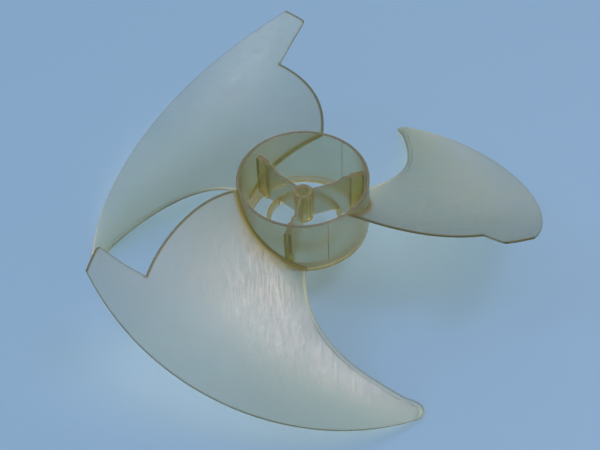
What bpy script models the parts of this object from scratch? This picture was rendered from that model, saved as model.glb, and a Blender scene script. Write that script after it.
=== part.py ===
"""Axial fan blade: a three-blade moulded fan wheel, lying with the open end of its hub up.

The frame is in metres with +Z up along the shaft axis. The origin is on the axis, level with
the underside of the hub. Angles run anticlockwise seen from above. The wheel stands on the
swept tips of its three blades, which reach below the hub.
"""

import math

import bmesh
import bpy
import numpy as np

COLLECTION = "axial_fan_blade"
CUTTERS = "cutters"
GAP = 0.0003  # clearance left between neighbouring features of the moulding
CUTTER_OVERRUN = 0.0100  # how far a cutter runs past what it cuts

# Hub: a round wall in three segments that meet at its mould lines, with a narrow lip inside its foot.
HUB_RADIUS = 0.0600
HUB_BASE_RADIUS = 0.0604
HUB_HEIGHT = 0.0600
HUB_INNER_RADIUS = 0.0571
HUB_INNER_BASE_RADIUS = 0.0569
HUB_EDGE_ROUND = 0.0008
LIP_INNER_RADIUS = 0.0504
LIP_THICKNESS = 0.0030
LIP_EDGE_ROUND = 0.0002
HUB_STEPS = 96
MOULD_LINE_ANGLE = 168.0

# Inner ring: a low ring round the boss, which the ribs pass over.
RING_INNER_RADIUS = 0.0313
RING_OUTER_RADIUS = 0.0350
RING_TOP = 0.0080
RING_EDGE_ROUND = 0.0004
RING_STEPS = 72

# Boss: the thick tube that the motor shaft passes through.
BOSS_RADIUS = 0.0087
BOSS_BASE_RADIUS = 0.0089
BOSS_BOTTOM = 0.0080
BOSS_TOP = 0.0420
BORE_RADIUS = 0.0040
BORE_MOUTH_RADIUS = 0.0056
BORE_MOUTH_DEPTH = 0.0016
BOSS_CHAMFER = 0.0005
BOSS_STEPS = 48

# Ribs: three flat webs from the boss, each ending in a balance post at the hub wall.
RIB_ANGLE = 13.0
RIB_THICKNESS = 0.0022
RIB_INNER_TOP = 0.0420
RIB_OUTER_TOP = 0.0476
RIB_RAMP_START = 0.0305
RIB_RAMP_END = 0.0380
POST_INNER_RADIUS = 0.0450
POST_OUTER_RADIUS = 0.0565
POST_WIDTH = 0.0056
POST_TOP = RIB_OUTER_TOP
POST_EDGE_ROUND = 0.0006

# Blade: five sections at constant radius. Angles are in degrees for the first blade.
BLADE_COUNT = 3
SECTION_RADIUS = (0.060, 0.100, 0.140, 0.180, 0.215)
TRAILING_ANGLE = (188.4, 197.4, 207.1, 217.4, 229.3)
TRAILING_HEIGHT = (0.0584, 0.0609, 0.0554, 0.0474, 0.0370)
LEADING_ANGLE = (268.0, 269.9, 279.6, 291.5, 298.7)
LEADING_HEIGHT = (0.0026, -0.0032, -0.0206, -0.0391, -0.0599)
SECTION_SAG = (0.0030, 0.0119, 0.0159, 0.0162, 0.0067)
SAG_LEAN = (-0.0026, 0.0012, 0.0023, -0.0010, -0.0080)

# Outline of the blade seen from above: radius and angle of its corners.
HORN_ROOT_RADIUS = 0.1682
HORN_CORNER = (0.1945, 205.6)
RIM_START_ANGLE = 210.7
RIM_END_ANGLE = 294.9
RIM_STATIONS = (0.0, 0.3, 0.6, 0.85, 1.0)
RIM_RADIUS = (0.2140, 0.2134, 0.2098, 0.2085, 0.2083)

# Blunt end of the blade, between its leading edge and its rim: (radius, angle) along its rounded corners.
TIP_EDGE_RADIUS = 0.1870
TIP_OUTLINE = (
    (0.1930, 295.50),
    (0.1960, 296.45),
    (0.1985, 296.80),
    (0.2014, 296.85),
    (0.2044, 296.50),
    (0.2068, 295.80),
)

# Blade thickness grows from the trailing edge to the rounded leading edge and at the root.
TRAILING_THICKNESS = 0.0019
LEADING_THICKNESS = 0.0038
ROOT_EXTRA_THICKNESS = 0.0016
ROOT_BLEND = 0.0045
NOSE_LENGTH = 0.0030
NOSE_END_SHARE = 0.25

# Rows of the blade mesh: along the trailing edge, the notch and the short outer side.
TRAILING_ROWS = 15
NOTCH_ROWS = 4
SIDE_ROWS = len(TIP_OUTLINE) + 1
CHORD_STEPS = 25


def clear_scene():
    for item in list(bpy.data.objects):
        bpy.data.objects.remove(item, do_unlink=True)
    for child in list(bpy.context.scene.collection.children):
        bpy.context.scene.collection.children.unlink(child)


def new_collection(name):
    made = bpy.data.collections.new(name)
    bpy.context.scene.collection.children.link(made)
    return made


def plastic(name, colour, roughness):
    made = bpy.data.materials.new(name)
    made.use_nodes = True
    shader = made.node_tree.nodes["Principled BSDF"]
    shader.inputs["Base Color"].default_value = (*colour, 1.0)
    shader.inputs["Roughness"].default_value = roughness
    made.diffuse_color = (*colour, 1.0)
    return made


def add_object(name, mesh, collection, material=None):
    made = bpy.data.objects.new(name, mesh)
    collection.objects.link(made)
    if material:
        mesh.materials.append(material)
    return made


def as_cutter(made):
    made.hide_render = True
    made.display_type = "WIRE"
    return made


def add_cutter(name, mesh, collection):
    return as_cutter(add_object(name, mesh, collection))


def mesh_from(name, points, edges=(), faces=()):
    mesh = bpy.data.meshes.new(name)
    mesh.from_pydata(points, edges, faces)
    mesh.update()
    return mesh


def turned(name, profile, steps, collection, material=None):
    """A ring turned from a closed profile of (radius, height), listed down its outer side first."""
    points = [(radius, 0.0, height) for radius, height in profile]
    edges = [(i, (i + 1) % len(points)) for i in range(len(points))]
    made = add_object(name, mesh_from(name, points, edges), collection, material)
    screw = made.modifiers.new("turn", "SCREW")
    screw.axis = "Z"
    screw.angle = math.tau
    screw.steps = steps
    screw.render_steps = steps
    screw.use_merge_vertices = True
    screw.merge_threshold = 0.00001
    screw.use_smooth_shade = True
    return made


def round_corner(centre, radius, turn):
    return centre[0] + radius * math.cos(turn), centre[1] + radius * math.sin(turn)


def wall_profile():
    rounding = HUB_EDGE_ROUND
    outer_corner = (HUB_RADIUS - rounding, HUB_HEIGHT - rounding)
    inner_corner = (HUB_INNER_RADIUS + rounding, HUB_HEIGHT - rounding)
    points = []
    for degrees in (90, 45, 0):
        turn = math.radians(degrees)
        points.append(round_corner(outer_corner, rounding, turn))
    points.append((HUB_BASE_RADIUS, rounding))
    points.append((HUB_BASE_RADIUS - rounding, 0.0))
    points.append((HUB_INNER_BASE_RADIUS, 0.0))
    for degrees in (180, 135, 90):
        turn = math.radians(degrees)
        points.append(round_corner(inner_corner, rounding, turn))
    return points


def ring_profile(inner, outer, top, rounding):
    """A flat ring standing on the level of the hub's underside, with its upper edges rounded off."""
    return [
        (outer - rounding, top),
        (outer, top - rounding),
        (outer, 0.0),
        (inner, 0.0),
        (inner, top - rounding),
        (inner + rounding, top),
    ]


def wedge_cutter(name, start_angle, span, collection):
    """A tall prism over one sector of the hub, short of each of its sides by half a gap."""
    reach = 2.0 * HUB_RADIUS
    below = -CUTTER_OVERRUN
    height = HUB_HEIGHT + 2.0 * CUTTER_OVERRUN
    middle = math.radians(start_angle + span / 2)
    inset = GAP / 2 / math.sin(math.radians(span / 2))
    corner = (inset * math.cos(middle), inset * math.sin(middle))
    base = [(corner[0], corner[1], below)]
    for share in (0.0, 0.5, 1.0):
        turn = math.radians(start_angle + span * share)
        base.append((corner[0] + reach * math.cos(turn), corner[1] + reach * math.sin(turn), below))
    form = bmesh.new()
    face = form.faces.new([form.verts.new(point) for point in base])
    raised = bmesh.ops.extrude_face_region(form, geom=[face])["geom"]
    moved = [item for item in raised if isinstance(item, bmesh.types.BMVert)]
    bmesh.ops.translate(form, verts=moved, vec=(0.0, 0.0, height))
    bmesh.ops.recalc_face_normals(form, faces=form.faces)
    mesh = bpy.data.meshes.new(name)
    form.to_mesh(mesh)
    form.free()
    return add_cutter(name, mesh, collection)


def hub_wall(name, start_angle, span, parts, cutters, material):
    """One segment of the round wall, between two mould lines."""
    made = turned(name, wall_profile(), HUB_STEPS, parts, material)
    cut = made.modifiers.new("segment", "BOOLEAN")
    cut.operation = "INTERSECT"
    cut.solver = "EXACT"
    cut.object = wedge_cutter(f"{name}_wedge", start_angle, span, cutters)
    return made


def boss_profile():
    return [
        (BOSS_RADIUS - BOSS_CHAMFER, BOSS_TOP),
        (BOSS_RADIUS, BOSS_TOP - BOSS_CHAMFER),
        (BOSS_BASE_RADIUS, BOSS_BOTTOM + BOSS_CHAMFER),
        (BOSS_BASE_RADIUS - BOSS_CHAMFER, BOSS_BOTTOM),
        (BORE_RADIUS, BOSS_BOTTOM),
        (BORE_RADIUS, BOSS_TOP - BORE_MOUTH_DEPTH),
        (BORE_MOUTH_RADIUS, BOSS_TOP),
    ]


def rib_outline():
    """The web's side view, as (radius, height), anticlockwise."""
    inner = BOSS_BASE_RADIUS + GAP
    outer = POST_INNER_RADIUS - GAP
    leg = RING_OUTER_RADIUS + GAP
    arch = RING_TOP + GAP
    return [
        (inner, arch),
        (leg, arch),
        (leg, 0.0),
        (outer, 0.0),
        (outer, RIB_OUTER_TOP),
        (RIB_RAMP_END, RIB_OUTER_TOP),
        (RIB_RAMP_START, RIB_INNER_TOP),
        (inner, RIB_INNER_TOP),
    ]


def rib(name, angle, collection, material):
    """A flat web: its outline as one face, given its thickness by Solidify and then turned into place."""
    outline = rib_outline()
    points = [(radius, 0.0, height) for radius, height in outline]
    made = add_object(name, mesh_from(name, points, (), [tuple(range(len(points)))]), collection, material)
    solid = made.modifiers.new("thickness", "SOLIDIFY")
    solid.thickness = RIB_THICKNESS
    solid.offset = 0.0
    made.rotation_euler = (0.0, 0.0, math.radians(angle))
    return made


def box_mesh(name, low, high):
    mesh = bpy.data.meshes.new(name)
    form = bmesh.new()
    bmesh.ops.create_cube(form, size=1.0)
    for vertex in form.verts:
        for axis in range(3):
            vertex.co[axis] = low[axis] if vertex.co[axis] < 0.0 else high[axis]
    form.to_mesh(mesh)
    form.free()
    return mesh


def balance_post(name, angle, lip_cutter, collection, material):
    """A square post against the hub wall at the end of a rib, notched over the lip."""
    low = (POST_INNER_RADIUS, -POST_WIDTH / 2, 0.0)
    high = (POST_OUTER_RADIUS, POST_WIDTH / 2, POST_TOP)
    made = add_object(name, box_mesh(name, low, high), collection, material)
    bevel = made.modifiers.new("edges", "BEVEL")
    bevel.width = POST_EDGE_ROUND
    bevel.segments = 2
    made.rotation_euler = (0.0, 0.0, math.radians(angle))
    cut = made.modifiers.new("lip_notch", "BOOLEAN")
    cut.operation = "DIFFERENCE"
    cut.solver = "EXACT"
    cut.object = lip_cutter
    return made


def lip_notch_cutter(collection):
    """The ring that keeps the posts clear of the lip."""
    inner = LIP_INNER_RADIUS - GAP
    top = LIP_THICKNESS + GAP
    low = -CUTTER_OVERRUN
    profile = [(HUB_RADIUS, top), (HUB_RADIUS, low), (inner, low), (inner, top)]
    made = turned("lip_notch_ring", profile, HUB_STEPS, collection)
    return as_cutter(made)


def through(stations, values, where):
    """The smooth curve through the values at the stations."""
    curve = np.polyfit(stations, values, len(stations) - 1)
    return np.polyval(curve, where)


def blade_height(radius, angle):
    """Height of the blade's middle surface: a sagging line from trailing to leading edge."""
    trailing = through(SECTION_RADIUS, TRAILING_ANGLE, radius)
    leading = through(SECTION_RADIUS, LEADING_ANGLE, radius)
    chord = (angle - trailing) / (leading - trailing)
    start = through(SECTION_RADIUS, TRAILING_HEIGHT, radius)
    end = through(SECTION_RADIUS, LEADING_HEIGHT, radius)
    sag = through(SECTION_RADIUS, SECTION_SAG, radius)
    lean = through(SECTION_RADIUS, SAG_LEAN, radius)
    straight = start + (end - start) * chord
    return straight - (sag + lean * (chord - 0.5)) * 4.0 * chord * (1.0 - chord)


def rim_radius(angle):
    share = (angle - RIM_START_ANGLE) / (RIM_END_ANGLE - RIM_START_ANGLE)
    return through(RIM_STATIONS, RIM_RADIUS, share)


def row_fractions():
    """Spanwise rows with a row exactly on each corner of the notch, closer together at the root."""
    notch = 0.65
    corner = 0.86
    first = np.linspace(0.0, 1.0, TRAILING_ROWS) ** 1.25 * notch
    second = np.linspace(notch, corner, NOTCH_ROWS + 1)[1:]
    third = np.linspace(corner, 1.0, SIDE_ROWS + 1)[1:]
    return np.concatenate([first, second, third]), notch, corner


def chord_fractions():
    """Chordwise columns, closer together at the rounded leading edge."""
    even = np.linspace(0.0, 0.965, CHORD_STEPS)
    return np.concatenate([even, (0.982, 0.991, 0.997, 1.0)])


def trailing_side(row, notch, corner, root_radius):
    """(radius, angle) on the trailing side: the curved edge, the notch, then the short side."""
    horn_root = (HORN_ROOT_RADIUS, float(through(SECTION_RADIUS, TRAILING_ANGLE, HORN_ROOT_RADIUS)))
    rim_start = (float(rim_radius(RIM_START_ANGLE)), RIM_START_ANGLE)
    if row <= notch:
        radius = root_radius + (HORN_ROOT_RADIUS - root_radius) * row / notch
        return radius, float(through(SECTION_RADIUS, TRAILING_ANGLE, radius))
    if row <= corner:
        share = (row - notch) / (corner - notch)
        ends = (horn_root, HORN_CORNER)
    else:
        share = (row - corner) / (1.0 - corner)
        ends = (HORN_CORNER, rim_start)
    return tuple(ends[0][i] + (ends[1][i] - ends[0][i]) * share for i in range(2))


def leading_side(row, corner, root_radius):
    """(radius, angle) on the leading side: the swept edge, then the blunt end of the blade."""
    if row <= corner:
        radius = root_radius + (TIP_EDGE_RADIUS - root_radius) * row / corner
        return radius, float(through(SECTION_RADIUS, LEADING_ANGLE, radius))
    start = (TIP_EDGE_RADIUS, float(through(SECTION_RADIUS, LEADING_ANGLE, TIP_EDGE_RADIUS)))
    end = (float(rim_radius(RIM_END_ANGLE)), RIM_END_ANGLE)
    outline = np.array([start, *TIP_OUTLINE, end])
    place = (row - corner) / (1.0 - corner) * (len(outline) - 1)
    return tuple(float(np.interp(place, np.arange(len(outline)), outline[:, i])) for i in range(2))


def outline_grid(root_radius):
    """(radius, angle) over the blade, blended inwards from its four sides."""
    rows, notch, corner = row_fractions()
    columns = chord_fractions()
    trailing = np.array([trailing_side(row, notch, corner, root_radius) for row in rows])
    leading = np.array([leading_side(row, corner, root_radius) for row in rows])
    root_angles = trailing[0, 1] + (leading[0, 1] - trailing[0, 1]) * columns
    root = np.stack([np.full_like(columns, root_radius), root_angles], axis=1)
    rim_angles = trailing[-1, 1] + (leading[-1, 1] - trailing[-1, 1]) * columns
    rim = np.stack([rim_radius(rim_angles), rim_angles], axis=1)
    down = rows[:, None, None]
    across = columns[None, :, None]
    sides = (1 - across) * trailing[:, None] + across * leading[:, None]
    ends = (1 - down) * root[None] + down * rim[None]
    corners = (1 - down) * ((1 - across) * root[0] + across * root[-1])
    corners = corners + down * ((1 - across) * rim[0] + across * rim[-1])
    return sides + ends - corners, columns


def on_surface(grid):
    radius = grid[..., 0]
    turn = np.radians(grid[..., 1])
    height = blade_height(radius, grid[..., 1])
    return np.stack([radius * np.cos(turn), radius * np.sin(turn), height], axis=-1)


def surface_normals(grid):
    step_out = on_surface(grid + np.array([0.0002, 0.0])) - on_surface(grid)
    step_round = on_surface(grid + np.array([0.0, 0.05])) - on_surface(grid)
    normals = np.cross(step_out, step_round)
    return normals / np.linalg.norm(normals, axis=-1, keepdims=True)


def blade_thickness(grid, columns):
    """Thickness over the blade, with a rounded nose along the leading edge."""
    chord_share = np.broadcast_to(columns[None, :], grid.shape[:2])
    base = TRAILING_THICKNESS + (LEADING_THICKNESS - TRAILING_THICKNESS) * chord_share**4
    root = ROOT_EXTRA_THICKNESS * np.exp(-(grid[..., 0] - HUB_RADIUS) / ROOT_BLEND)
    edge = on_surface(grid)[:, -1:, :]
    from_edge = np.linalg.norm(on_surface(grid) - edge, axis=-1)
    share = np.clip(from_edge / NOSE_LENGTH, 0.0, 1.0)
    nose = NOSE_END_SHARE + (1.0 - NOSE_END_SHARE) * np.sqrt(1.0 - (1.0 - share) ** 2)
    return (base + root) * nose


def hub_outside(height):
    """The hub's outer radius at a height, with the gap that a blade root keeps."""
    share = np.clip(height / HUB_HEIGHT, 0.0, 1.0)
    return HUB_BASE_RADIUS + (HUB_RADIUS - HUB_BASE_RADIUS) * share + GAP


def blade_points():
    """Upper and lower grids of points, with the root row laid on the hub's round wall."""
    grid, columns = outline_grid(HUB_BASE_RADIUS + GAP)
    middle = on_surface(grid)
    half = (blade_thickness(grid, columns) / 2)[..., None] * surface_normals(grid)
    layers = []
    for layer in (middle + half, middle - half):
        flat = np.linalg.norm(layer[0, :, :2], axis=1)
        layer[0, :, :2] *= (hub_outside(layer[0, :, 2]) / flat)[:, None]
        layers.append(layer)
    return layers


def blade_mesh(name):
    """A loft between the blade's sections: upper skin, lower skin and the strip round the edge."""
    upper, lower = blade_points()
    rows, columns = upper.shape[:2]
    count = rows * columns
    points = [tuple(point) for point in np.concatenate([upper.reshape(-1, 3), lower.reshape(-1, 3)])]
    faces = []
    for i in range(rows - 1):
        for j in range(columns - 1):
            a = i * columns + j
            b = a + 1
            c = a + columns + 1
            d = a + columns
            faces.append((a, d, c, b))
            faces.append((a + count, b + count, c + count, d + count))
    border = list(range(columns))
    border += [i * columns + columns - 1 for i in range(1, rows)]
    border += [(rows - 1) * columns + j for j in range(columns - 2, -1, -1)]
    border += [i * columns for i in range(rows - 2, 0, -1)]
    for k, here in enumerate(border):
        after = border[(k + 1) % len(border)]
        faces.append((here, after, after + count, here + count))
    mesh = mesh_from(name, points, (), faces)
    form = bmesh.new()
    form.from_mesh(mesh)
    bmesh.ops.recalc_face_normals(form, faces=form.faces)
    form.to_mesh(mesh)
    form.free()
    mesh.polygons.foreach_set("use_smooth", [True] * len(mesh.polygons))
    return mesh


def build():
    clear_scene()
    parts = new_collection(COLLECTION)
    cutters = new_collection(CUTTERS)
    cutters.hide_render = True
    lip_cutter = lip_notch_cutter(cutters)
    lip_plastic = plastic("lip_plastic", (0.42, 0.45, 0.33), 0.25)
    ring_plastic = plastic("ring_plastic", (0.42, 0.45, 0.31), 0.28)
    boss_plastic = plastic("boss_plastic", (0.40, 0.43, 0.28), 0.30)
    lip = ring_profile(LIP_INNER_RADIUS, HUB_INNER_BASE_RADIUS - GAP, LIP_THICKNESS, LIP_EDGE_ROUND)
    turned("hub_lip", lip, HUB_STEPS, parts, lip_plastic)
    ring = ring_profile(RING_INNER_RADIUS, RING_OUTER_RADIUS, RING_TOP, RING_EDGE_ROUND)
    turned("inner_ring", ring, RING_STEPS, parts, ring_plastic)
    turned("shaft_boss", boss_profile(), BOSS_STEPS, parts, boss_plastic)
    for number in range(BLADE_COUNT):
        turn = 360.0 / BLADE_COUNT * number
        label = number + 1
        wall_plastic = plastic(f"wall_plastic_{label}", (0.42, 0.45, 0.33), 0.25)
        wall_start = MOULD_LINE_ANGLE + turn
        hub_wall(f"hub_wall_{label}", wall_start, 360.0 / BLADE_COUNT, parts, cutters, wall_plastic)
        rib_plastic = plastic(f"rib_plastic_{label}", (0.43, 0.46, 0.33), 0.28)
        post_plastic = plastic(f"post_plastic_{label}", (0.36, 0.39, 0.22), 0.30)
        blade_plastic = plastic(f"blade_plastic_{label}", (0.55, 0.62, 0.55), 0.45)
        rib(f"hub_rib_{label}", RIB_ANGLE + turn, parts, rib_plastic)
        balance_post(f"balance_post_{label}", RIB_ANGLE + turn, lip_cutter, parts, post_plastic)
        blade = add_object(f"blade_{label}", blade_mesh(f"blade_{label}"), parts, blade_plastic)
        blade.rotation_euler = (0.0, 0.0, math.radians(turn))


build()
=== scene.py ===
"""Axial fan blade: the finished look of a three-blade fan wheel moulded in translucent plastic.

The wheel is built again here at a finer grain: one piece for the moulded hub with its lip, ring,
boss, ribs and posts, and one piece for each blade. Sizes are in metres, in the frame of the
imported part: +Z up along the shaft axis, origin on the axis, level with the hub's underside.
"""

import math

import bmesh
import bpy
import numpy as np
from mathutils import Matrix, Vector


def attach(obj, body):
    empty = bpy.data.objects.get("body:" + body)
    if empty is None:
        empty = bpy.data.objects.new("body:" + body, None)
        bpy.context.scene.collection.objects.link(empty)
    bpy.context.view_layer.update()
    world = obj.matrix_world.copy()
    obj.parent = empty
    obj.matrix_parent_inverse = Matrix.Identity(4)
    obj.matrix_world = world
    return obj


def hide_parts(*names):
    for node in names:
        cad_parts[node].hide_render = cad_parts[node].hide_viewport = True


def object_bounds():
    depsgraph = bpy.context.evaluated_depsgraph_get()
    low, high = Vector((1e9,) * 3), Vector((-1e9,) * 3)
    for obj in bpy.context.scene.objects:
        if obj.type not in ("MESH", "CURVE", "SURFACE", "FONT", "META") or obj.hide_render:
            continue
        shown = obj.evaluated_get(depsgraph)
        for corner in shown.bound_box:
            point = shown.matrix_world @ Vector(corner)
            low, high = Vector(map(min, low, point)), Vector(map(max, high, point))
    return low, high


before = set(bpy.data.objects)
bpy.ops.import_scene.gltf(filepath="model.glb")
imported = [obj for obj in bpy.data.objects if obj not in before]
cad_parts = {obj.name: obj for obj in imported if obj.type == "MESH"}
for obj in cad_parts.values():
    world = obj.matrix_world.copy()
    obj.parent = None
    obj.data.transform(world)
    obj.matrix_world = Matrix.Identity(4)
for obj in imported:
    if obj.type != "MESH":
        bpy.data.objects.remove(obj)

CAD_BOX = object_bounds()
BODY = "root"
PLACE_NAME = "own_place"  # mesh attribute: each point's place before its blade is turned
SMOOTH_ANGLE = 35.0  # edges sharper than this stay sharp, in degrees
FLAT_FACE_WEIGHT = 100  # how much more the large flat faces count in the shading than small ones
ARC_SEGMENTS = 4
SMALL_SEGMENTS = 3  # on the smallest rounds

# Hub wall, lip and inner ring.
HUB_RADIUS = 0.0600
HUB_BASE_RADIUS = 0.0604
HUB_HEIGHT = 0.0600
HUB_INNER_RADIUS = 0.0571
HUB_INNER_BASE_RADIUS = 0.0569
HUB_EDGE_ROUND = 0.0009
LIP_INNER_RADIUS = 0.0504
LIP_THICKNESS = 0.0030
LIP_FILLET = 0.0012
RING_INNER_RADIUS = 0.0313
RING_OUTER_RADIUS = 0.0350
RING_TOP = 0.0080
SMALL_ROUND = 0.0005
HUB_STEPS = 192
MOULD_LINE_ANGLE = 168.0
MOULD_LINE_WIDTH = 0.0006
MOULD_LINE_DEPTH = 0.0007
MOULD_LINE_BOTTOM = 0.0110
CUT_MARGIN = 0.001  # how far the groove's cutter stands out of the wall
TOP_FACE_RISE = (0.6, 0.95)  # upward slope at which a face starts to count, and counts fully, as top

# Shaft boss.
BOSS_RADIUS = 0.0087
BOSS_BASE_RADIUS = 0.0089
BOSS_BOTTOM = 0.0080
BOSS_TOP = 0.0420
BORE_RADIUS = 0.0040
BORE_MOUTH_RADIUS = 0.0056
BORE_MOUTH_DEPTH = 0.0016

# Ribs and balance posts.
RIB_ANGLE = 13.0
RIB_THICKNESS = 0.0022
RIB_INNER_TOP = 0.0420
RIB_OUTER_TOP = 0.0476
RIB_RAMP_START = 0.0305
RIB_RAMP_END = 0.0380
POST_INNER_RADIUS = 0.0450
RIB_MIDDLE = 0.0200
RIB_FOOT = 0.0001  # heights at which the webs start, just above the hub's underside
POST_FOOT = 0.0002
RIB_TOP_DROP = 0.0001  # keeps the rib's top off the post's top, so that no two faces fall together
RIB_REACH_IN = 0.0012  # how far the rib reaches into the boss, and into the post
RIB_REACH_OUT = 0.0010
POST_WIDTH = 0.0056
POST_INNER_ROUND = 0.0008
POST_ROUND_SHARES = (0.0, 0.15, 0.35, 0.65, 1.0)
POST_REACH_SHARE = 0.4  # how far the post reaches into the wall, in shares of the fillet
WEB_FILLET = 0.0012
WEB_EDGE_ROUND = 0.0003
FILLET_SHARES = (0.1, 0.25, 0.45, 0.7, 1.0)  # stations through a fillet, in shares of its radius
HAIR = 0.00002  # distance between the two stations of a step
SINK = 0.0004  # how far joined shapes reach into each other

# Blade: sections at constant radius. Angles are in degrees for the first blade.
BLADE_COUNT = 3
SECTION_RADIUS = (0.060, 0.100, 0.140, 0.180, 0.215)
TRAILING_ANGLE = (188.4, 197.4, 207.1, 217.4, 229.3)
TRAILING_HEIGHT = (0.0584, 0.0609, 0.0554, 0.0474, 0.0370)
LEADING_ANGLE = (268.0, 269.9, 279.6, 291.5, 298.7)
LEADING_HEIGHT = (0.0026, -0.0032, -0.0206, -0.0391, -0.0599)
SECTION_SAG = (0.0030, 0.0119, 0.0159, 0.0162, 0.0067)
SAG_LEAN = (-0.0026, 0.0012, 0.0023, -0.0010, -0.0080)

# Outline of the blade seen from above.
HORN_ROOT_RADIUS = 0.1682
HORN_CORNER = (0.1945, 205.6)
RIM_START_ANGLE = 210.7
RIM_END_ANGLE = 294.9
RIM_STATIONS = (0.0, 0.3, 0.6, 0.85, 1.0)
RIM_RADIUS = (0.2140, 0.2134, 0.2098, 0.2085, 0.2083)
TIP_EDGE_RADIUS = 0.1870
TIP_OUTLINE = (
    (0.1930, 295.50),
    (0.1960, 296.45),
    (0.1985, 296.80),
    (0.2014, 296.85),
    (0.2044, 296.50),
    (0.2068, 295.80),
)

# Blade thickness, edges and root fillet.
TRAILING_THICKNESS = 0.0019
LEADING_THICKNESS = 0.0027
NOSE_LENGTH = 0.0030  # the leading edge thins over this length
NOSE_END_SHARE = 0.45  # to this share of its thickness
BEAD_HEIGHT = 0.0005
BEAD_WIDTH = (0.0030, 0.0048)  # at the hub and at the tip
BEAD_STEP = 0.0008  # width of the slope at the bead's inner side
EDGE_ROUND = 0.0005
EDGE_CLEARANCE = 0.00015
INSET_REACH = 0.0040  # how far from the edge the grid still moves in with it
EDGE_SQUARENESS = 0.5  # 1 is a round edge, less is squarer
ROOT_FILLET = 0.0018
ROOT_SINK = 0.0002
ROOT_MARGIN = 0.0003  # the root stays this far from the hub wall's top and bottom
EDGE_SEGMENTS = 8

# Bands along the free edges, where the light runs on inside the plastic and darkens it; painted shade
# at the bead's inner side and the root; painted highlight at the bead's start.
TRAILING_BAND = 0.0020
NOTCH_BAND = 0.0008
SHORT_SIDE_BAND = 0.0014
RIM_BAND = 0.0008
LEADING_BAND = 0.0007
# painted shade along the bead's inner side: its width
BEAD_SHADE_WIDTH = 0.0005
BAND_FADE = 0.0005
# painted shade along the blade's root, where it meets the hub wall: its width and fade
ROOT_SHADE_BAND = 0.0034
ROOT_SHADE_FADE = 0.0018
RIM_DARKNESS = 0.12
NOTCH_DARKNESS = 0.5
LEADING_DARKNESS = 0.25
# painted shade along the bead's inner side
BEAD_SHADE_RADII = (0.085, 0.140)  # the bead's inner line comes in between these radii
# painted highlight at the start of the bead, near the hub
HIGHLIGHT_RADII = (0.085, 0.125)  # the pale start of the bead fades out between these

# Rows and columns of the blade grid, in shares of the span and of the chord.
ROOT_ROW_DISTANCES = (0.0, 0.0004, 0.0008, 0.0012, 0.0017, 0.0022, 0.0028, 0.0036, 0.0048)  # metres
SPAN_ROWS = 44
NOTCH_ROWS = 14
TIP_STEPS = 3
NOTCH_SHARE = 0.65  # row at which the curved trailing edge ends and the notch begins
CORNER_SHARE = 0.86  # row of the horn's corner, and of the start of the blunt end
CORNER_BLEND = 0.020
CORNER_ROWS = 9
CHORD_COLUMNS = 84
EVEN_COLUMNS_END = 0.965
TRAILING_COLUMNS = (0.0, 0.0015, 0.0030, 0.0045, 0.0060, 0.0080, 0.0105, 0.0140, 0.0190)
RIM_ROWS = (0.986, 0.990, 0.993, 0.9955, 0.9978, 1.0)
EDGE_COLUMNS = (0.972, 0.978, 0.983, 0.987, 0.990, 0.993, 0.9955, 0.9975, 0.9990, 1.0)
NORMAL_STEPS = (0.0002, 0.05)  # small steps in radius and in degrees, to find the surface's slope
LEAST_GAP_SQUARED = 1e-9  # keeps a weight finite where the distance is nil
ROW_TOLERANCE = 1e-6

# Fine structure of the plastic. Scales are per metre, in x, y and z of the place on the part.
CLOUD_SCALE = (22.0, 22.0, 22.0)
CLOUD_DETAIL = 6.0
CLOUD_ROUGHNESS = 0.6
CLOUD_RELIEF = 18.0  # height of the cloudy unevenness, in heights of the streaks
STREAK_DETAIL = 2.0
STREAK_RANGE = (0.46, 0.70)  # noise values at which a streak starts and has its full height
STREAK_RADII = (0.085, 0.140)  # the streaks fade between these distances from the origin
OUTER_STREAK_HEIGHT = 0.3
NOISE_RANGE = (0.7, 1.3)  # of the two noises added together
ROUGHNESS_SPREAD = 0.20  # as a share of the roughness
CLEARNESS_SPREAD = 0.02
REFRACTION = 1.57
ABSORPTION_DENSITY = 120.0

# The two plastics. Each band is a mesh attribute, with the tint and the clearness that it marks.
HUB_PLASTIC = {
    "tint": (0.82, 0.82, 0.83),
    "clearness": 0.93,
    "roughness": 0.22,
    "bands": (
        ("thick_band", (0.78, 0.76, 0.60), 0.86),
        ("rib_band", (0.66, 0.68, 0.58), 0.80),
        # painted shade: faces that point up get a darker, browner tint and less clearness
        ("upward_shade_band", (0.54, 0.49, 0.38), 0.74),
    ),
    "depth_colour": (0.89, 0.87, 0.12),
    "shade_colour": (0.84, 0.74, 0.50),
    "streak_scale": (40.0, 40.0, 40.0),
    "streak_height": 0.0,
}
BLADE_PLASTIC = {
    "tint": (0.76, 0.83, 0.86),
    "clearness": 0.94,
    "roughness": 0.36,
    "bands": (
        # painted highlight: the bead's start near the hub is paler and milkier
        ("bead_start_highlight_band", (0.95, 0.93, 0.86), 0.79),
        # painted shade: a dark teal line along the inner side of the leading edge's bead
        ("bead_shade_band", (0.36, 0.44, 0.44), 0.92),
        ("edge_band", (0.36, 0.31, 0.15), 0.92),
        # painted shade: darker olive tint along the root where the blade meets the hub wall
        ("root_shade_band", (0.58, 0.53, 0.17), 0.84),
    ),
    "depth_colour": (0.75, 0.77, 0.34),
    "shade_colour": (0.86, 0.82, 0.72),
    "streak_scale": (620.0, 70.0, 70.0),
    "streak_height": 0.000085,
}

# Camera, worked out from the photo's outlines: place in metres, angles in degrees.
CAMERA_POSITION = (-0.0254, -0.7171, 0.8070)
CAMERA_YAW = 1.70
CAMERA_PITCH = 48.52
CAMERA_ROLL = -2.33
FOCAL_PIXELS = 1154.6
PICTURE_WIDTH = 600
SENSOR_WIDTH = 36.0
CLIP_START = 0.01
CLIP_END = 50.0

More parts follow.
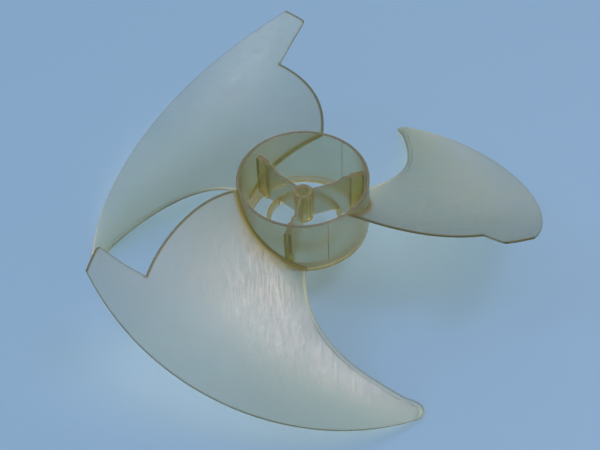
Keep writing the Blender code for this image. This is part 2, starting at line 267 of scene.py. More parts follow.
# Floor and light. Each light has its place, the point it faces, its size, its power in watts
# and its colour.
FLOOR_HALF = 6.0
FLOOR_COLOUR = (0.32, 0.54, 0.76)
FLOOR_ROUGHNESS = 0.6
SKY_COLOUR = (0.80, 0.88, 1.0)
SKY_STRENGTH = 0.49
LIGHTS = {
    "right_light": ((0.74, -0.34, 1.84), (0.0, -0.1, 0.0), (0.7, 0.5), 12.0, (1.0, 0.76, 0.74)),
    "side_light": ((1.70, -0.10, 1.40), (0.0, -0.1, 0.0), (0.5, 0.5), 1.6, (1.0, 0.76, 0.72)),
    "back_light": ((0.10, 2.30, 1.10), (0.1, 0.1, 0.0), (0.3, 0.15), 1.3, (1.0, 0.85, 0.82)),
    "left_light": ((-1.80, 0.25, 1.90), (-0.1, 0.1, 0.0), (0.8, 0.8), 8.0, (0.95, 0.98, 1.0)),
}


def through(stations, values, where):
    """The smooth curve through the values at the stations."""
    return np.polyval(np.polyfit(stations, values, len(stations) - 1), where)


def mesh_object(name, points, faces):
    """An object with the given faces, turned to point outwards and shaded smooth."""
    mesh = bpy.data.meshes.new(name)
    mesh.from_pydata([tuple(float(c) for c in point) for point in points], [], faces)
    mesh.update()
    form = bmesh.new()
    form.from_mesh(mesh)
    bmesh.ops.recalc_face_normals(form, faces=form.faces)
    form.to_mesh(mesh)
    form.free()
    made = bpy.data.objects.new(name, mesh)
    bpy.context.scene.collection.objects.link(made)
    shade(made)
    return made


def shade(made):
    """Smooth shading, with the edges above the angle kept sharp."""
    made.data.polygons.foreach_set("use_smooth", [True] * len(made.data.polygons))
    made.data.set_sharp_from_angle(angle=math.radians(SMOOTH_ANGLE))
    made.data.update()


def flatten_faces(made):
    """Lets the large flat faces keep their flat look next to their rounded edges."""
    step = made.modifiers.new("weighted", "WEIGHTED_NORMAL")
    step.keep_sharp = True
    step.weight = FLAT_FACE_WEIGHT


def arc(centre, radius, start, end, segments=ARC_SEGMENTS):
    """Points on a circular arc in (radius, height), from one angle to another in degrees."""
    turns = np.radians(np.linspace(start, end, segments + 1))
    return [(centre[0] + radius * math.cos(t), centre[1] + radius * math.sin(t)) for t in turns]


def turned(name, profile, steps):
    """A closed ring turned round the axis from a closed profile."""
    count = len(profile)
    points = []
    for step in range(steps):
        turn = math.tau * step / steps
        points += [(r * math.cos(turn), r * math.sin(turn), z) for r, z in profile]
    faces = []
    for step in range(steps):
        here = step * count
        after = (step + 1) % steps * count
        for i in range(count):
            j = (i + 1) % count
            faces.append((here + i, here + j, after + j, after + i))
    return mesh_object(name, points, faces)


def combine(target, tool, operation):
    """Joins the tool to the target, or cuts it away, and removes the tool."""
    step = target.modifiers.new(operation.lower(), "BOOLEAN")
    step.operation = operation
    step.solver = "MANIFOLD"
    step.object = tool
    graph = bpy.context.evaluated_depsgraph_get()
    made = bpy.data.meshes.new_from_object(target.evaluated_get(graph))
    target.modifiers.clear()
    old = target.data
    target.data = made
    made.name = target.name
    bpy.data.meshes.remove(old)
    bpy.data.objects.remove(tool, do_unlink=True)


def wall_profile():
    """Wall and lip in one: round the rim, down outside, along the underside, the lip and up inside."""
    edge = HUB_EDGE_ROUND
    small = SMALL_ROUND
    fillet = LIP_FILLET
    inner_foot = HUB_INNER_BASE_RADIUS
    points = arc((HUB_RADIUS - edge, HUB_HEIGHT - edge), edge, 90, 0)
    points += arc((HUB_BASE_RADIUS - edge, edge), edge, 0, -90)
    points += arc((LIP_INNER_RADIUS + small, small), small, -90, -180, SMALL_SEGMENTS)
    points += arc((LIP_INNER_RADIUS + small, LIP_THICKNESS - small), small, 180, 90, SMALL_SEGMENTS)
    points += arc((inner_foot - fillet, LIP_THICKNESS + fillet), fillet, -90, 0)
    points += arc((HUB_INNER_RADIUS + edge, HUB_HEIGHT - edge), edge, 180, 90)
    return points


def ring_profile():
    """The inner ring: a low wall with all four edges rounded."""
    small = SMALL_ROUND
    points = arc((RING_OUTER_RADIUS - small, RING_TOP - small), small, 90, 0, SMALL_SEGMENTS)
    points += arc((RING_OUTER_RADIUS - small, small), small, 0, -90, SMALL_SEGMENTS)
    points += arc((RING_INNER_RADIUS + small, small), small, -90, -180, SMALL_SEGMENTS)
    points += arc((RING_INNER_RADIUS + small, RING_TOP - small), small, 180, 90, SMALL_SEGMENTS)
    return points


def boss_profile():
    """The boss: a tube with its outer edges rounded and the mouth of its bore countersunk."""
    small = SMALL_ROUND
    points = [(BORE_MOUTH_RADIUS, BOSS_TOP)]
    points += arc((BOSS_RADIUS - small, BOSS_TOP - small), small, 90, 0, SMALL_SEGMENTS)
    points += arc((BOSS_BASE_RADIUS - small, BOSS_BOTTOM + small), small, 0, -90, SMALL_SEGMENTS)
    points += [(BORE_RADIUS, BOSS_BOTTOM), (BORE_RADIUS, BOSS_TOP - BORE_MOUTH_DEPTH)]
    return points


def fillet_width(distance, radius):
    """Extra half width of a wall at a distance from the wall that it meets with a fillet."""
    share = np.clip(distance, 0.0, radius)
    return radius - np.sqrt(radius**2 - (radius - share) ** 2)


def section(half, bottom, top):
    """Points round an upright rectangle with its corners rounded, as (across, height)."""
    rounding = WEB_EDGE_ROUND
    side = half - rounding
    corners = (
        (side, top - rounding, 0),
        (-side, top - rounding, 90),
        (-side, bottom + rounding, 180),
        (side, bottom + rounding, 270),
    )
    points = []
    for across, height, start in corners:
        points += arc((across, height), rounding, start, start + 90, SMALL_SEGMENTS)
    return points


def web(name, angle, stations):
    """An upright web along a radius, lofted through stations of (radius, half width, bottom, top)."""
    turn = math.radians(angle)
    along = Vector((math.cos(turn), math.sin(turn), 0.0))
    side = Vector((-math.sin(turn), math.cos(turn), 0.0))
    points = []
    for radius, half, bottom, top in stations:
        for across, height in section(half, bottom, top):
            place = along * radius + side * across
            points.append((place.x, place.y, height))
    count = len(points) // len(stations)
    faces = [tuple(range(count)), tuple(range(len(points) - count, len(points)))]
    for step in range(len(stations) - 1):
        for i in range(count):
            j = (i + 1) % count
            a = step * count
            b = a + count
            faces.append((a + i, a + j, b + j, b + i))
    return mesh_object(name, points, faces)


def rib_stations():
    """The rib from inside the boss to inside the post, over the inner ring, with its leg beyond it."""
    half = RIB_THICKNESS / 2
    leg = RING_OUTER_RADIUS - SINK
    arch = RING_TOP - SINK
    radii = [BOSS_RADIUS - RIB_REACH_IN, BOSS_RADIUS]
    radii += [BOSS_RADIUS + WEB_FILLET * share for share in FILLET_SHARES]
    radii += [RIB_MIDDLE, RIB_RAMP_START, leg - HAIR, leg, RIB_RAMP_END]
    radii += [POST_INNER_RADIUS - WEB_FILLET * share for share in reversed(FILLET_SHARES)]
    radii += [POST_INNER_RADIUS, POST_INNER_RADIUS + RIB_REACH_OUT]
    stations = []
    for radius in radii:
        flare = float(fillet_width(radius - BOSS_RADIUS, WEB_FILLET))
        flare += float(fillet_width(POST_INNER_RADIUS - radius, WEB_FILLET))
        top = float(np.interp(radius, (RIB_RAMP_START, RIB_RAMP_END), (RIB_INNER_TOP, RIB_OUTER_TOP)))
        bottom = arch if radius < leg else RIB_FOOT
        stations.append((radius, half + flare, bottom, top - RIB_TOP_DROP))
    return stations


def post_stations():
    """The post from its rounded inner face to inside the hub wall."""
    half = POST_WIDTH / 2
    corner = POST_INNER_ROUND
    wall = HUB_INNER_RADIUS
    stations = []
    for share in POST_ROUND_SHARES:
        radius = POST_INNER_RADIUS + corner * share
        inset = corner - math.sqrt(corner**2 - (corner * (1.0 - share)) ** 2)
        stations.append((radius, half - inset, POST_FOOT, RIB_OUTER_TOP))
    for share in (*reversed(FILLET_SHARES), 0.0, -POST_REACH_SHARE):
        radius = wall - WEB_FILLET * share
        flare = float(fillet_width(wall - radius, WEB_FILLET))
        stations.append((radius, half + flare, POST_FOOT, RIB_OUTER_TOP))
    return stations


def mould_line(name, angle):
    """A narrow upright groove in the outer face of the hub wall."""
    turn = math.radians(angle)
    along = Vector((math.cos(turn), math.sin(turn), 0.0))
    side = Vector((-math.sin(turn), math.cos(turn), 0.0))
    deep = HUB_RADIUS - MOULD_LINE_DEPTH
    clear = HUB_BASE_RADIUS + CUT_MARGIN
    outline = ((deep, 0.0), (clear, -MOULD_LINE_WIDTH), (clear, MOULD_LINE_WIDTH))
    points = []
    for height in (MOULD_LINE_BOTTOM, HUB_HEIGHT + 2 * CUT_MARGIN):
        for radius, across in outline:
            place = along * radius + side * across
            points.append((place.x, place.y, height))
    faces = [(0, 1, 2), (3, 5, 4), (0, 3, 4, 1), (1, 4, 5, 2), (2, 5, 3, 0)]
    return mesh_object(name, points, faces)


def make_hub():
    """The hub as one closed mesh: wall with lip, ring, boss, posts and ribs, less the mould lines."""
    hub = turned("hub_moulding", wall_profile(), HUB_STEPS)
    combine(hub, turned("ring", ring_profile(), HUB_STEPS), "UNION")
    combine(hub, turned("boss", boss_profile(), HUB_STEPS // 2), "UNION")
    for number in range(BLADE_COUNT):
        turn = 360.0 / BLADE_COUNT * number
        combine(hub, web("post", RIB_ANGLE + turn, post_stations()), "UNION")
        combine(hub, web("rib", RIB_ANGLE + turn, rib_stations()), "UNION")
        combine(hub, mould_line("line", MOULD_LINE_ANGLE + turn), "DIFFERENCE")
    shade(hub)
    flatten_faces(hub)
    mark_hub_faces(hub)
    keep_places(hub, [point.co for point in hub.data.vertices])
    return hub


def keep_places(made, places):
    """Stores a place for each point, for the material to work from."""
    attribute = made.data.attributes.new(PLACE_NAME, "FLOAT_VECTOR", "POINT")
    attribute.data.foreach_set("vector", np.ravel(places))


def mark_hub_faces(made):
    """Marks the faces that point up, for a painted darker, browner shade with less clearness, and
    those of the ribs, posts and boss.
    """
    upward = np.array([face.normal.z for face in made.data.polygons])
    radius = np.array([math.hypot(face.center.x, face.center.y) for face in made.data.polygons])
    height = np.array([face.center.z for face in made.data.polygons])
    post = (radius > POST_INNER_RADIUS - SINK) & (radius < HUB_INNER_BASE_RADIUS - SINK)
    post &= height > LIP_THICKNESS + LIP_FILLET
    boss = radius < BOSS_BASE_RADIUS + SINK
    rib = (radius > BOSS_BASE_RADIUS + SINK) & (radius < POST_INNER_RADIUS - SINK)
    rib &= height > RING_TOP + SINK
    # painted shade on the faces that point up
    top = smooth_step(*TOP_FACE_RISE, upward)
    marks = {"upward_shade_band": top, "thick_band": post | boss, "rib_band": rib}
    for name, values in marks.items():
        made.data.attributes.new(name, "FLOAT", "FACE").data.foreach_set("value", values.astype(float))


def blade_height(radius, angle):
    """Height of the blade's middle surface: a sagging line from trailing to leading edge."""
    trailing = through(SECTION_RADIUS, TRAILING_ANGLE, radius)
    leading = through(SECTION_RADIUS, LEADING_ANGLE, radius)
    chord = (angle - trailing) / (leading - trailing)
    start = through(SECTION_RADIUS, TRAILING_HEIGHT, radius)
    end = through(SECTION_RADIUS, LEADING_HEIGHT, radius)
    sag = through(SECTION_RADIUS, SECTION_SAG, radius)
    lean = through(SECTION_RADIUS, SAG_LEAN, radius)
    straight = start + (end - start) * chord
    return straight - (sag + lean * (chord - 0.5)) * 4.0 * chord * (1.0 - chord)


def rim_radius(angle):
    """Radius of the blade's outer rim at an angle in degrees."""
    share = (angle - RIM_START_ANGLE) / (RIM_END_ANGLE - RIM_START_ANGLE)
    return through(RIM_STATIONS, RIM_RADIUS, share)


def hub_outside(height):
    """Radius of the hub wall's outer face, which widens a little towards its foot."""
    share = np.clip(height / HUB_HEIGHT, 0.0, 1.0)
    return HUB_BASE_RADIUS + (HUB_RADIUS - HUB_BASE_RADIUS) * share


def row_shares():
    """Spanwise rows: close together in the root fillet and round the corner of the horn."""
    per_metre = NOTCH_SHARE / (HORN_ROOT_RADIUS - HUB_BASE_RADIUS)
    root = np.array(ROOT_ROW_DISTANCES) * per_metre
    span = np.linspace(root[-1], NOTCH_SHARE, SPAN_ROWS + 1)[1:]
    corner = CORNER_SHARE + np.linspace(-CORNER_BLEND, CORNER_BLEND, CORNER_ROWS)
    notch = np.linspace(NOTCH_SHARE, corner[0], NOTCH_ROWS + 1)[1:-1]
    tip_rows = (len(TIP_OUTLINE) + 1) * TIP_STEPS
    tip = np.linspace(corner[-1], RIM_ROWS[0], tip_rows)[1:-1]
    return np.concatenate([root, span, notch, corner, tip, RIM_ROWS])


def column_shares():
    """Chordwise columns: close together near the trailing and the leading edge."""
    even = np.linspace(TRAILING_COLUMNS[-1], EVEN_COLUMNS_END, CHORD_COLUMNS)
    return np.concatenate([TRAILING_COLUMNS, even[1:], EDGE_COLUMNS])


def trailing_path(row, root_radius):
    """(radius, angle) on the trailing side: the curved edge, the notch, then the short side."""
    horn_root = (HORN_ROOT_RADIUS, float(through(SECTION_RADIUS, TRAILING_ANGLE, HORN_ROOT_RADIUS)))
    rim_start = (float(rim_radius(RIM_START_ANGLE)), RIM_START_ANGLE)
    if row <= NOTCH_SHARE:
        radius = root_radius + (HORN_ROOT_RADIUS - root_radius) * row / NOTCH_SHARE
        return np.array([radius, float(through(SECTION_RADIUS, TRAILING_ANGLE, radius))])
    if row <= CORNER_SHARE:
        share = (row - NOTCH_SHARE) / (CORNER_SHARE - NOTCH_SHARE)
        start, end = horn_root, HORN_CORNER
    else:
        share = (row - CORNER_SHARE) / (1.0 - CORNER_SHARE)
        start, end = HORN_CORNER, rim_start
    return np.array(start) + (np.array(end) - np.array(start)) * share


def trailing_side(row, root_radius):
    """The trailing side with the corner of its horn rounded."""
    if abs(row - CORNER_SHARE) >= CORNER_BLEND:
        return trailing_path(row, root_radius)
    before = trailing_path(CORNER_SHARE - CORNER_BLEND, root_radius)
    after = trailing_path(CORNER_SHARE + CORNER_BLEND, root_radius)
    t = (row - CORNER_SHARE) / (2.0 * CORNER_BLEND) + 0.5
    return (1 - t) ** 2 * before + 2 * t * (1 - t) * np.array(HORN_CORNER) + t**2 * after


def smooth_path(points, place):
    """A point on the smooth curve through the points, at a place counted in points from the first."""
    points = np.asarray(points, float)
    step = min(int(place), len(points) - 2)
    t = place - step
    before = points[max(step - 1, 0)]
    a = points[step]
    b = points[step + 1]
    after = points[min(step + 2, len(points) - 1)]
    return 0.5 * (
        2 * a
        + (b - before) * t
        + (2 * before - 5 * a + 4 * b - after) * t**2
        + (3 * a - before - 3 * b + after) * t**3
    )


def leading_side(row, root_radius):
    """(radius, angle) on the leading side: the swept edge, then the blunt end of the blade."""
    if row <= CORNER_SHARE:
        radius = root_radius + (TIP_EDGE_RADIUS - root_radius) * row / CORNER_SHARE
        return radius, float(through(SECTION_RADIUS, LEADING_ANGLE, radius))
    start = (TIP_EDGE_RADIUS, float(through(SECTION_RADIUS, LEADING_ANGLE, TIP_EDGE_RADIUS)))
    end = (float(rim_radius(RIM_END_ANGLE)), RIM_END_ANGLE)
    outline = [start, *TIP_OUTLINE, end]
    place = (row - CORNER_SHARE) / (1.0 - CORNER_SHARE) * (len(outline) - 1)
    return tuple(float(value) for value in smooth_path(outline, place))


def outline_grid(root_radius):
    """(radius, angle) over the blade, blended inwards from its four sides."""
    rows = row_shares()
    columns = column_shares()
    trailing = np.array([trailing_side(row, root_radius) for row in rows])
    leading = np.array([leading_side(row, root_radius) for row in rows])
    root_angles = trailing[0, 1] + (leading[0, 1] - trailing[0, 1]) * columns
    root = np.stack([np.full_like(columns, root_radius), root_angles], axis=1)
    rim_angles = trailing[-1, 1] + (leading[-1, 1] - trailing[-1, 1]) * columns
    rim = np.stack([rim_radius(rim_angles), rim_angles], axis=1)
    down = rows[:, None, None]
    across = columns[None, :, None]
    sides = (1 - across) * trailing[:, None] + across * leading[:, None]
    ends = (1 - down) * root[None] + down * rim[None]
    corners = (1 - down) * ((1 - across) * root[0] + across * root[-1])
    corners = corners + down * ((1 - across) * rim[0] + across * rim[-1])
    return sides + ends - corners, columns


def on_surface(grid):
    """Points on the blade's middle surface, from (radius, angle)."""
    radius = grid[..., 0]
    turn = np.radians(grid[..., 1])
    height = blade_height(radius, grid[..., 1])
    return np.stack([radius * np.cos(turn), radius * np.sin(turn), height], axis=-1)


def surface_normals(grid):
    """Directions square to the blade's middle surface."""
    radius_step, angle_step = NORMAL_STEPS
    step_out = on_surface(grid + np.array([radius_step, 0.0])) - on_surface(grid)
    step_round = on_surface(grid + np.array([0.0, angle_step])) - on_surface(grid)
    normals = np.cross(step_out, step_round)
    return normals / np.linalg.norm(normals, axis=-1, keepdims=True)


def smooth_step(low, high, value):
    """0 up to the low value, 1 from the high value on, and a smooth rise between them."""
    share = np.clip((value - low) / (high - low), 0.0, 1.0)
    return share * share * (3.0 - 2.0 * share)


def bead_width(grid):
    """Width of the thick bead along the leading edge, which grows towards the tip."""
    return np.interp(grid[..., 0], (HUB_RADIUS, TIP_EDGE_RADIUS), BEAD_WIDTH)


def blade_halves(grid, columns, middle):
    """Half thickness above and below the middle surface."""
    chord = np.broadcast_to(columns[None, :], grid.shape[:2])
    base = TRAILING_THICKNESS + (LEADING_THICKNESS - TRAILING_THICKNESS) * chord**4
    from_edge = np.linalg.norm(middle - middle[:, -1:, :], axis=-1)
    share = np.clip(from_edge / NOSE_LENGTH, 0.0, 1.0)
    nose = NOSE_END_SHARE + (1.0 - NOSE_END_SHARE) * np.sqrt(1.0 - (1.0 - share) ** 2)
    width = bead_width(grid)
    bead = BEAD_HEIGHT * (1.0 - smooth_step(0.0, 1.0, (from_edge - width) / BEAD_STEP + 1.0))
    root = fillet_width(grid[..., 0] - hub_outside(middle[..., 2]), ROOT_FILLET)
    half = base / 2 * nose + root
    return half + bead, half


def border_of(rows, columns):
    """Grid places round the edge: root row, leading side, rim and trailing side."""
    border = [(0, j) for j in range(columns)]
    border += [(i, columns - 1) for i in range(1, rows)]
    border += [(rows - 1, j) for j in range(columns - 2, -1, -1)]
    border += [(i, 0) for i in range(rows - 2, 0, -1)]
    return border


def edge_insets(border, middle, normals):
    """How far each point of the edge moves in to leave room for the rounded edge strip."""
    rows, columns = middle.shape[:2]
    insets = {}
    for k, (i, j) in enumerate(border):
        if i == 0 and 0 < j < columns - 1:
            continue
        before = middle[border[k - 1]]
        after = middle[border[(k + 1) % len(border)]]
        if i == 0:
            neighbour = middle[1, j]
            before, after = middle[0, j], neighbour
        tangent = after - before
        outward = np.cross(tangent, normals[i, j])
        outward /= np.linalg.norm(outward)
        inner = middle[min(max(i, 1), rows - 2), min(max(j, 1), columns - 2)]
        if np.dot(outward, inner - middle[i, j]) > 0:
            outward = -outward
        insets[(i, j)] = -outward * (EDGE_ROUND + EDGE_CLEARANCE)
    return insets


def spread_insets(insets, middle):
    """The insets of the edge carried on inwards, fading out, so that the rows near it stay apart."""
    edge = np.array([middle[place] for place in insets])
    moves = np.array(list(insets.values()))
    flat = middle.reshape(-1, 3)
    gaps = np.linalg.norm(flat[:, None, :] - edge[None, :, :], axis=-1)
    weights = 1.0 / (gaps**2 + LEAST_GAP_SQUARED) ** 2
    blended = weights @ moves / weights.sum(axis=1, keepdims=True)
    fade = np.clip(1.0 - gaps.min(axis=1) / INSET_REACH, 0.0, 1.0)
    return (blended * fade[:, None]).reshape(middle.shape)


def nearest(points, line):
    """Distance from each point to the nearest point of a line of points."""
    flat = points.reshape(-1, 3)
    gaps = [np.linalg.norm(flat - corner, axis=1) for corner in line]
    return np.min(gaps, axis=0).reshape(points.shape[:-1])


def between_points(line, count=3):
    """The line with more points put in between its own."""
    steps = np.arange(0.0, len(line) - 1 + 0.5 / count, 1.0 / count)
    own = np.arange(len(line))
    return np.stack([np.interp(steps, own, line[:, axis]) for axis in range(3)], axis=1)


def band(distance, width, fade=BAND_FADE):
    """1 within the width, fading to 0 beyond it."""
    return 1.0 - smooth_step(-1.0, 1.0, (distance - width) / fade)


def edge_bands(grid, middle):
    """Marks from 0 to 1 over the grid: the darker edges, the painted shade along the bead's inner side
    and the painted highlight at the bead's start near the hub.
    """
    rows = row_shares()
    radius = grid[..., 0]
    curved = middle[rows <= NOTCH_SHARE + ROW_TOLERANCE, 0]
    horn = middle[(rows >= NOTCH_SHARE - ROW_TOLERANCE) & (rows <= CORNER_SHARE), 0]
    short_side = middle[rows >= CORNER_SHARE, 0]
    leading = nearest(middle, between_points(middle[:, -1]))
    dark = band(nearest(middle, between_points(curved)), TRAILING_BAND)
    for line, width, darkness in (
        (horn, NOTCH_BAND, NOTCH_DARKNESS),
        (short_side, SHORT_SIDE_BAND, 1.0),
        (middle[-1], RIM_BAND, RIM_DARKNESS),
    ):
        dark = np.maximum(dark, darkness * band(nearest(middle, between_points(line)), width))
    dark = np.maximum(dark, LEADING_DARKNESS * band(leading, LEADING_BAND))
    # painted shade along the bead's inner side, on the outer part of the blade
    outer = smooth_step(*BEAD_SHADE_RADII, radius)
    line = outer * np.exp(-(((leading - bead_width(grid)) / BEAD_SHADE_WIDTH) ** 2))
    # painted highlight on the bead near the hub
    pale = (1.0 - smooth_step(*HIGHLIGHT_RADII, radius)) * band(leading, bead_width(grid) - BAND_FADE)
    return {"edge_band": dark, "bead_shade_band": line, "bead_start_highlight_band": pale}


def blade_points():
    """Upper and lower grid, places round the border, the strip round the edge, and the bands."""
    grid, columns = outline_grid(HUB_BASE_RADIUS - ROOT_SINK)
    middle = on_surface(grid)
    normals = surface_normals(grid)
    above, below = blade_halves(grid, columns, middle)
    border = border_of(*middle.shape[:2])
    insets = edge_insets(border, middle, normals)
    inner = middle + spread_insets(insets, middle)
    layers = [inner + above[..., None] * normals, inner - below[..., None] * normals]
    for layer in layers:
        layer[0, :, 2] = np.clip(layer[0, :, 2], ROOT_MARGIN, HUB_HEIGHT - ROOT_MARGIN)
        flat = np.linalg.norm(layer[0, :, :2], axis=1)
        layer[0, :, :2] *= ((hub_outside(layer[0, :, 2]) - ROOT_SINK) / flat)[:, None]
    strip = []
    for place in border:
        upper, lower = layers[0][place], layers[1][place]
        centre = (upper + lower) / 2
        bulge = -insets.get(place, np.zeros(3)) * EDGE_ROUND / (EDGE_ROUND + EDGE_CLEARANCE)
        for step in range(1, EDGE_SEGMENTS):
            turn = math.pi * step / EDGE_SEGMENTS
            across = math.copysign(abs(math.cos(turn)) ** EDGE_SQUARENESS, math.cos(turn))
            out = math.sin(turn) ** EDGE_SQUARENESS
            strip.append(centre + across * (upper - centre) + out * bulge)
    from_wall = grid[..., 0] - hub_outside(middle[..., 2])
    marks = edge_bands(grid, middle)
    # painted shade along the root, where the blade meets the hub wall
    marks["root_shade_band"] = band(from_wall, ROOT_SHADE_BAND, ROOT_SHADE_FADE)
    for name, values in marks.items():
        edge = [values[place] for place in border for step in range(1, EDGE_SEGMENTS)]
        marks[name] = np.concatenate([values.ravel(), values.ravel(), edge])
    return layers, border, strip, marks


def make_blade(number):
    """One blade: upper skin, lower skin and the rounded strip round the edge, as one closed mesh."""
    layers, border, strip, marks = blade_points()
    rows, columns = layers[0].shape[:2]
    count = rows * columns
    unturned = np.concatenate([layers[0].reshape(-1, 3), layers[1].reshape(-1, 3), np.array(strip)])
    turn = math.tau / BLADE_COUNT * number
    cosine, sine = math.cos(turn), math.sin(turn)
    spin = np.array([[cosine, -sine, 0], [sine, cosine, 0], [0, 0, 1]])
    faces = []
    for i in range(rows - 1):
        for j in range(columns - 1):
            a = i * columns + j
            faces.append((a, a + columns, a + columns + 1, a + 1))
            faces.append((a + count, a + count + 1, a + count + columns + 1, a + count + columns))
    between = EDGE_SEGMENTS - 1

    def ladder(k):
        i, j = border[k % len(border)]
        top = i * columns + j
        start = 2 * count + (k % len(border)) * between
        return [top, *range(start, start + between), top + count]

    for k in range(len(border)):
        here, after = ladder(k), ladder(k + 1)
        for step in range(EDGE_SEGMENTS):
            faces.append((here[step], after[step], after[step + 1], here[step + 1]))
    blade = mesh_object(f"blade_{number + 1}_moulding", unturned @ spin.T, faces)
    for name, values in marks.items():
        blade.data.attributes.new(name, "FLOAT", "POINT").data.foreach_set("value", values)
    keep_places(blade, unturned)
    return blade


class Nodes:
    """Short calls for building a material's node tree."""

    def __init__(self, name):
        self.material = bpy.data.materials.new(name)
        self.material.use_nodes = True
        self.tree = self.material.node_tree
        self.tree.nodes.clear()

    def add(self, kind, **settings):
        node = self.tree.nodes.new(kind)
        inputs = settings.pop("inputs", {})
        for key, value in settings.items():
            setattr(node, key, value)
        for key, value in inputs.items():
            if isinstance(value, bpy.types.NodeSocket):
                self.tree.links.new(value, node.inputs[key])
            else:
                node.inputs[key].default_value = value
        return node


def place_on_part(n):
    """Each point's place on the part, the same on each blade."""
    return n.add("ShaderNodeAttribute", attribute_name=PLACE_NAME).outputs["Vector"]


def noise(n, scale, **inputs):
    """Noise over the part, with a scale of its own in x, y and z."""
    place = n.add("ShaderNodeVectorMath", operation="MULTIPLY", inputs={0: place_on_part(n), 1: scale})
    inputs = {"Vector": place.outputs[0], "Scale": 1.0, **inputs}
    return n.add("ShaderNodeTexNoise", inputs=inputs).outputs["Fac"]


def mapped(n, value, span, low, high):
    """The value's span mapped to run from low to high, and held there beyond its ends."""
    return n.add("ShaderNodeMapRange", inputs={
        "Value": value, "From Min": span[0], "From Max": span[1], "To Min": low, "To Max": high,
    }).outputs["Result"]


def relief_normal(n, cloud, streak, height):
    """The bump of clouds and flow streaks. The streaks are full near the hub and low further out."""
    radius = n.add("ShaderNodeVectorMath", operation="LENGTH", inputs={0: place_on_part(n)})
    fade = mapped(n, radius.outputs["Value"], STREAK_RADII, 1.0, OUTER_STREAK_HEIGHT)
    ridge = mapped(n, streak, STREAK_RANGE, 0.0, fade)
    relief = n.add("ShaderNodeMath", operation="MULTIPLY_ADD", inputs={
        0: cloud, 1: CLOUD_RELIEF, 2: ridge,
    })
    return n.add("ShaderNodeBump", inputs={
        "Strength": 1.0, "Distance": height, "Height": relief.outputs[0],
    }).outputs["Normal"]


def banded(n, tint, clear, bands):
    """The base colour and the clearness, changed where a band's mesh attribute marks it."""
    colour = (*tint, 1.0)
    for attribute, band_tint, band_clearness in bands:
        mark = n.add("ShaderNodeAttribute", attribute_name=attribute).outputs["Fac"]
        clear = n.add("ShaderNodeMix", data_type="FLOAT", inputs={
            0: mark, 2: clear, 3: band_clearness,
        }).outputs[0]
        colour = n.add("ShaderNodeMix", data_type="RGBA", inputs={
            0: mark, 6: colour, 7: (*band_tint, 1.0),
        }).outputs[2]
    return colour, clear


def clear_plastic(name, look):
    """Translucent plastic: rough glass with a milky share, tinted by the depth that light passes.

    Clouds and streaks vary its roughness and clearness a little. It casts a tinted, even shadow.
    """
    n = Nodes(name)
    cloud = noise(n, CLOUD_SCALE, Detail=CLOUD_DETAIL, Roughness=CLOUD_ROUGHNESS)
    streak = noise(n, look["streak_scale"], Detail=STREAK_DETAIL)
    both = n.add("ShaderNodeMath", operation="ADD", inputs={0: cloud, 1: streak}).outputs[0]
    rough, clear = look["roughness"], look["clearness"]
    spread = rough * ROUGHNESS_SPREAD
    clearness = mapped(n, both, NOISE_RANGE, clear + CLEARNESS_SPREAD, clear - CLEARNESS_SPREAD)
    colour, clearness = banded(n, look["tint"], clearness, look["bands"])
    shader = n.add("ShaderNodeBsdfPrincipled", inputs={
        "Base Color": colour,
        "Roughness": mapped(n, both, NOISE_RANGE, rough - spread, rough + spread),
        "IOR": REFRACTION,
        "Transmission Weight": clearness,
    })
    if look["streak_height"] > 0.0:
        normal = relief_normal(n, cloud, streak, look["streak_height"])
        n.tree.links.new(normal, shader.inputs["Normal"])
    passing = n.add("ShaderNodeBsdfTransparent", inputs={"Color": (*look["shade_colour"], 1.0)})
    path = n.add("ShaderNodeLightPath")
    mixed = n.add("ShaderNodeMixShader", inputs={
        0: path.outputs["Is Shadow Ray"], 1: shader.outputs[0], 2: passing.outputs[0],
    })
    depth = n.add("ShaderNodeVolumeAbsorption", inputs={
        "Color": (*look["depth_colour"], 1.0), "Density": ABSORPTION_DENSITY,
    })
    n.add("ShaderNodeOutputMaterial", inputs={
        "Surface": mixed.outputs[0], "Volume": depth.outputs[0],
    })
    return n.material


def plain(name, colour, roughness):
    """A material of one colour, for the floor."""
    n = Nodes(name)
    shader = n.add("ShaderNodeBsdfPrincipled", inputs={
        "Base Color": (*colour, 1.0), "Roughness": roughness,
    })
    n.add("ShaderNodeOutputMaterial", inputs={"Surface": shader.outputs[0]})
    return n.material


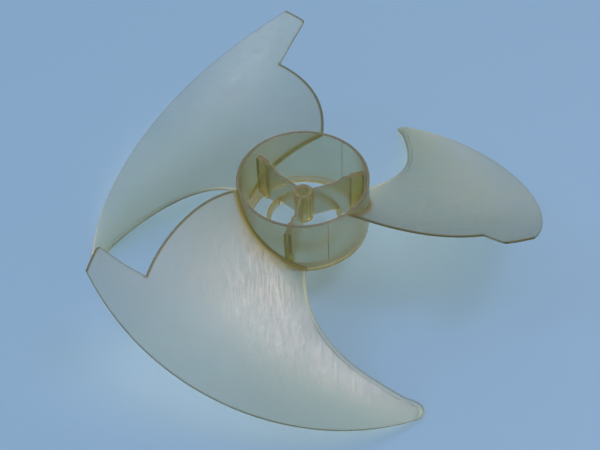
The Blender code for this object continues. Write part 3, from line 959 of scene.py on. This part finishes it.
def make_camera():
    """The camera at the photo's place, turned by yaw, pitch and roll from looking along +Y."""
    yaw, pitch, roll = (math.radians(v) for v in (CAMERA_YAW, CAMERA_PITCH, CAMERA_ROLL))
    level = Vector((math.sin(yaw), math.cos(yaw), 0.0))
    forward = level * math.cos(pitch) - Vector((0, 0, math.sin(pitch)))
    right = forward.cross(Vector((0, 0, 1))).normalized()
    up = right.cross(forward)
    rolled_right = right * math.cos(roll) + up * math.sin(roll)
    rolled_up = up * math.cos(roll) - right * math.sin(roll)
    data = bpy.data.cameras.new("camera")
    data.sensor_width = SENSOR_WIDTH
    data.lens = SENSOR_WIDTH * FOCAL_PIXELS / PICTURE_WIDTH
    data.clip_start = CLIP_START
    data.clip_end = CLIP_END
    camera = bpy.data.objects.new("camera", data)
    axes = Matrix((rolled_right, rolled_up, -forward)).transposed().to_4x4()
    camera.matrix_world = Matrix.Translation(CAMERA_POSITION) @ axes
    bpy.context.scene.collection.objects.link(camera)
    bpy.context.scene.camera = camera


def area_light(name, place, target, size, power, colour):
    """A soft rectangular light at a place, turned to face the target."""
    data = bpy.data.lights.new(name, "AREA")
    data.shape = "RECTANGLE"
    data.size, data.size_y = size
    data.energy = power
    data.color = colour
    lamp = bpy.data.objects.new(name, data)
    lamp.location = place
    lamp.rotation_euler = (Vector(target) - Vector(place)).to_track_quat("-Z", "Y").to_euler()
    bpy.context.scene.collection.objects.link(lamp)


def make_stage():
    """A plain pale floor under the part, an even sky and four soft lights."""
    level = CAD_BOX[0].z
    corners = ((-1, -1), (1, -1), (1, 1), (-1, 1))
    points = [(x * FLOOR_HALF, y * FLOOR_HALF, level) for x, y in corners]
    floor = mesh_object("floor", points, [(0, 1, 2, 3)])
    floor.data.materials.append(plain("floor_paper", FLOOR_COLOUR, FLOOR_ROUGHNESS))
    world = bpy.data.worlds.new("studio")
    world.use_nodes = True
    sky = world.node_tree.nodes["Background"].inputs
    sky["Color"].default_value = (*SKY_COLOUR, 1.0)
    sky["Strength"].default_value = SKY_STRENGTH
    bpy.context.scene.world = world
    for name, settings in LIGHTS.items():
        area_light(name, *settings)


def dress(piece, material, nodes):
    """Gives a piece its material, hangs it under the body and hides the part's nodes that it stands
    for.
    """
    piece.data.materials.clear()
    piece.data.materials.append(material)
    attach(piece, BODY)
    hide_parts(*nodes)


def hub_nodes():
    """The part's nodes that the hub's one piece stands for."""
    names = ["hub_lip", "inner_ring", "shaft_boss"]
    for number in range(1, BLADE_COUNT + 1):
        names += [f"hub_wall_{number}", f"hub_rib_{number}", f"balance_post_{number}"]
    return names


def main():
    make_camera()
    make_stage()
    hub_plastic = clear_plastic("hub_plastic", HUB_PLASTIC)
    dress(make_hub(), hub_plastic, hub_nodes())
    blade_plastic = clear_plastic("blade_plastic", BLADE_PLASTIC)
    for number in range(BLADE_COUNT):
        dress(make_blade(number), blade_plastic, [f"blade_{number + 1}"])
    bpy.context.scene.view_settings.view_transform = "Standard"


main()
